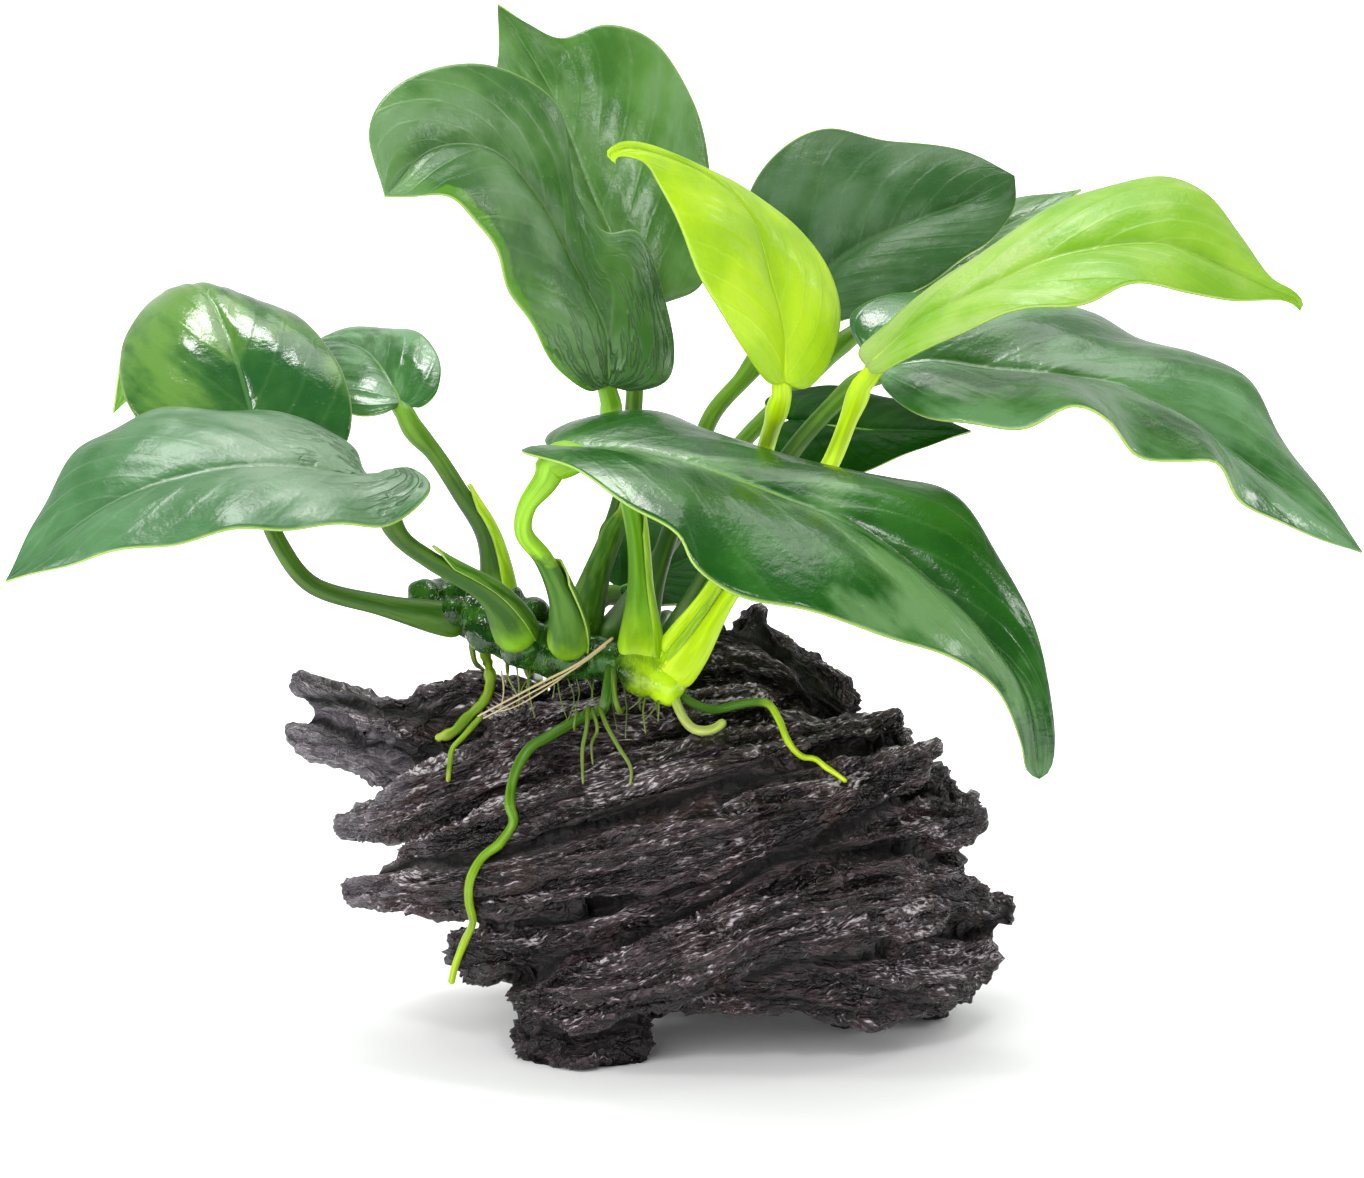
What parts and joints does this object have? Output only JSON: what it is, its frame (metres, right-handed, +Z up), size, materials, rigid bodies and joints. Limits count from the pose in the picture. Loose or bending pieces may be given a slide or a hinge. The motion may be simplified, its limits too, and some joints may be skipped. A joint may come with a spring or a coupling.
{
  "type": "anubias on driftwood",
  "caption": "Broad-leaved water plant whose creeping stem is held by its roots on a dark, grained piece of driftwood.",
  "frame": {"origin": "middle of the bounding box, on the surface that the driftwood's feet stand on", "axes": "+X to the right as seen from the front, +Y away from the viewer, +Z up"},
  "size_m": [0.1704, 0.0928, 0.1336],
  "materials": {
    "wood": "satin",
    "dark_leaf": "gloss",
    "young_leaf": "satin",
    "dark_stalk": "satin",
    "young_stalk": "satin",
    "rhizome": "gloss",
    "root": "satin"
  },
  "bodies": {
    "root": {"driftwood_body": "wood", "driftwood_left_fork": "wood", "driftwood_front_foot": "wood", "rhizome": "rhizome", "leaf_front_left_blade": "dark_leaf", "leaf_front_left_stalk": "dark_stalk", "leaf_far_left_blade": "dark_leaf", "leaf_far_left_stalk": "dark_stalk", "leaf_small_left_blade": "dark_leaf", "leaf_small_left_stalk": "dark_stalk", "leaf_tall_centre_blade": "dark_leaf", "leaf_tall_centre_stalk": "dark_stalk", "leaf_tall_back_blade": "dark_leaf", "leaf_tall_back_stalk": "dark_stalk", "leaf_young_centre_blade": "young_leaf", "leaf_young_centre_stalk": "young_stalk", "leaf_back_right_blade": "dark_leaf", "leaf_back_right_stalk": "dark_stalk", "leaf_young_right_blade": "young_leaf", "leaf_young_right_stalk": "young_stalk", "leaf_wide_right_blade": "dark_leaf", "leaf_wide_right_stalk": "dark_stalk", "leaf_far_back_blade": "dark_leaf", "leaf_far_back_stalk": "dark_stalk", "leaf_under_right_blade": "dark_leaf", "leaf_under_right_stalk": "dark_stalk", "leaf_front_blade": "dark_leaf", "leaf_front_stalk": "dark_stalk", "leaf_low_back_blade": "dark_leaf", "leaf_low_back_stalk": "dark_stalk", "root_long_front": "root", "root_left": "root", "root_left_branch": "root", "root_right": "root", "root_short": "root", "root_back_left": "root", "root_back_right": "root"}
  },
  "joints": []
}
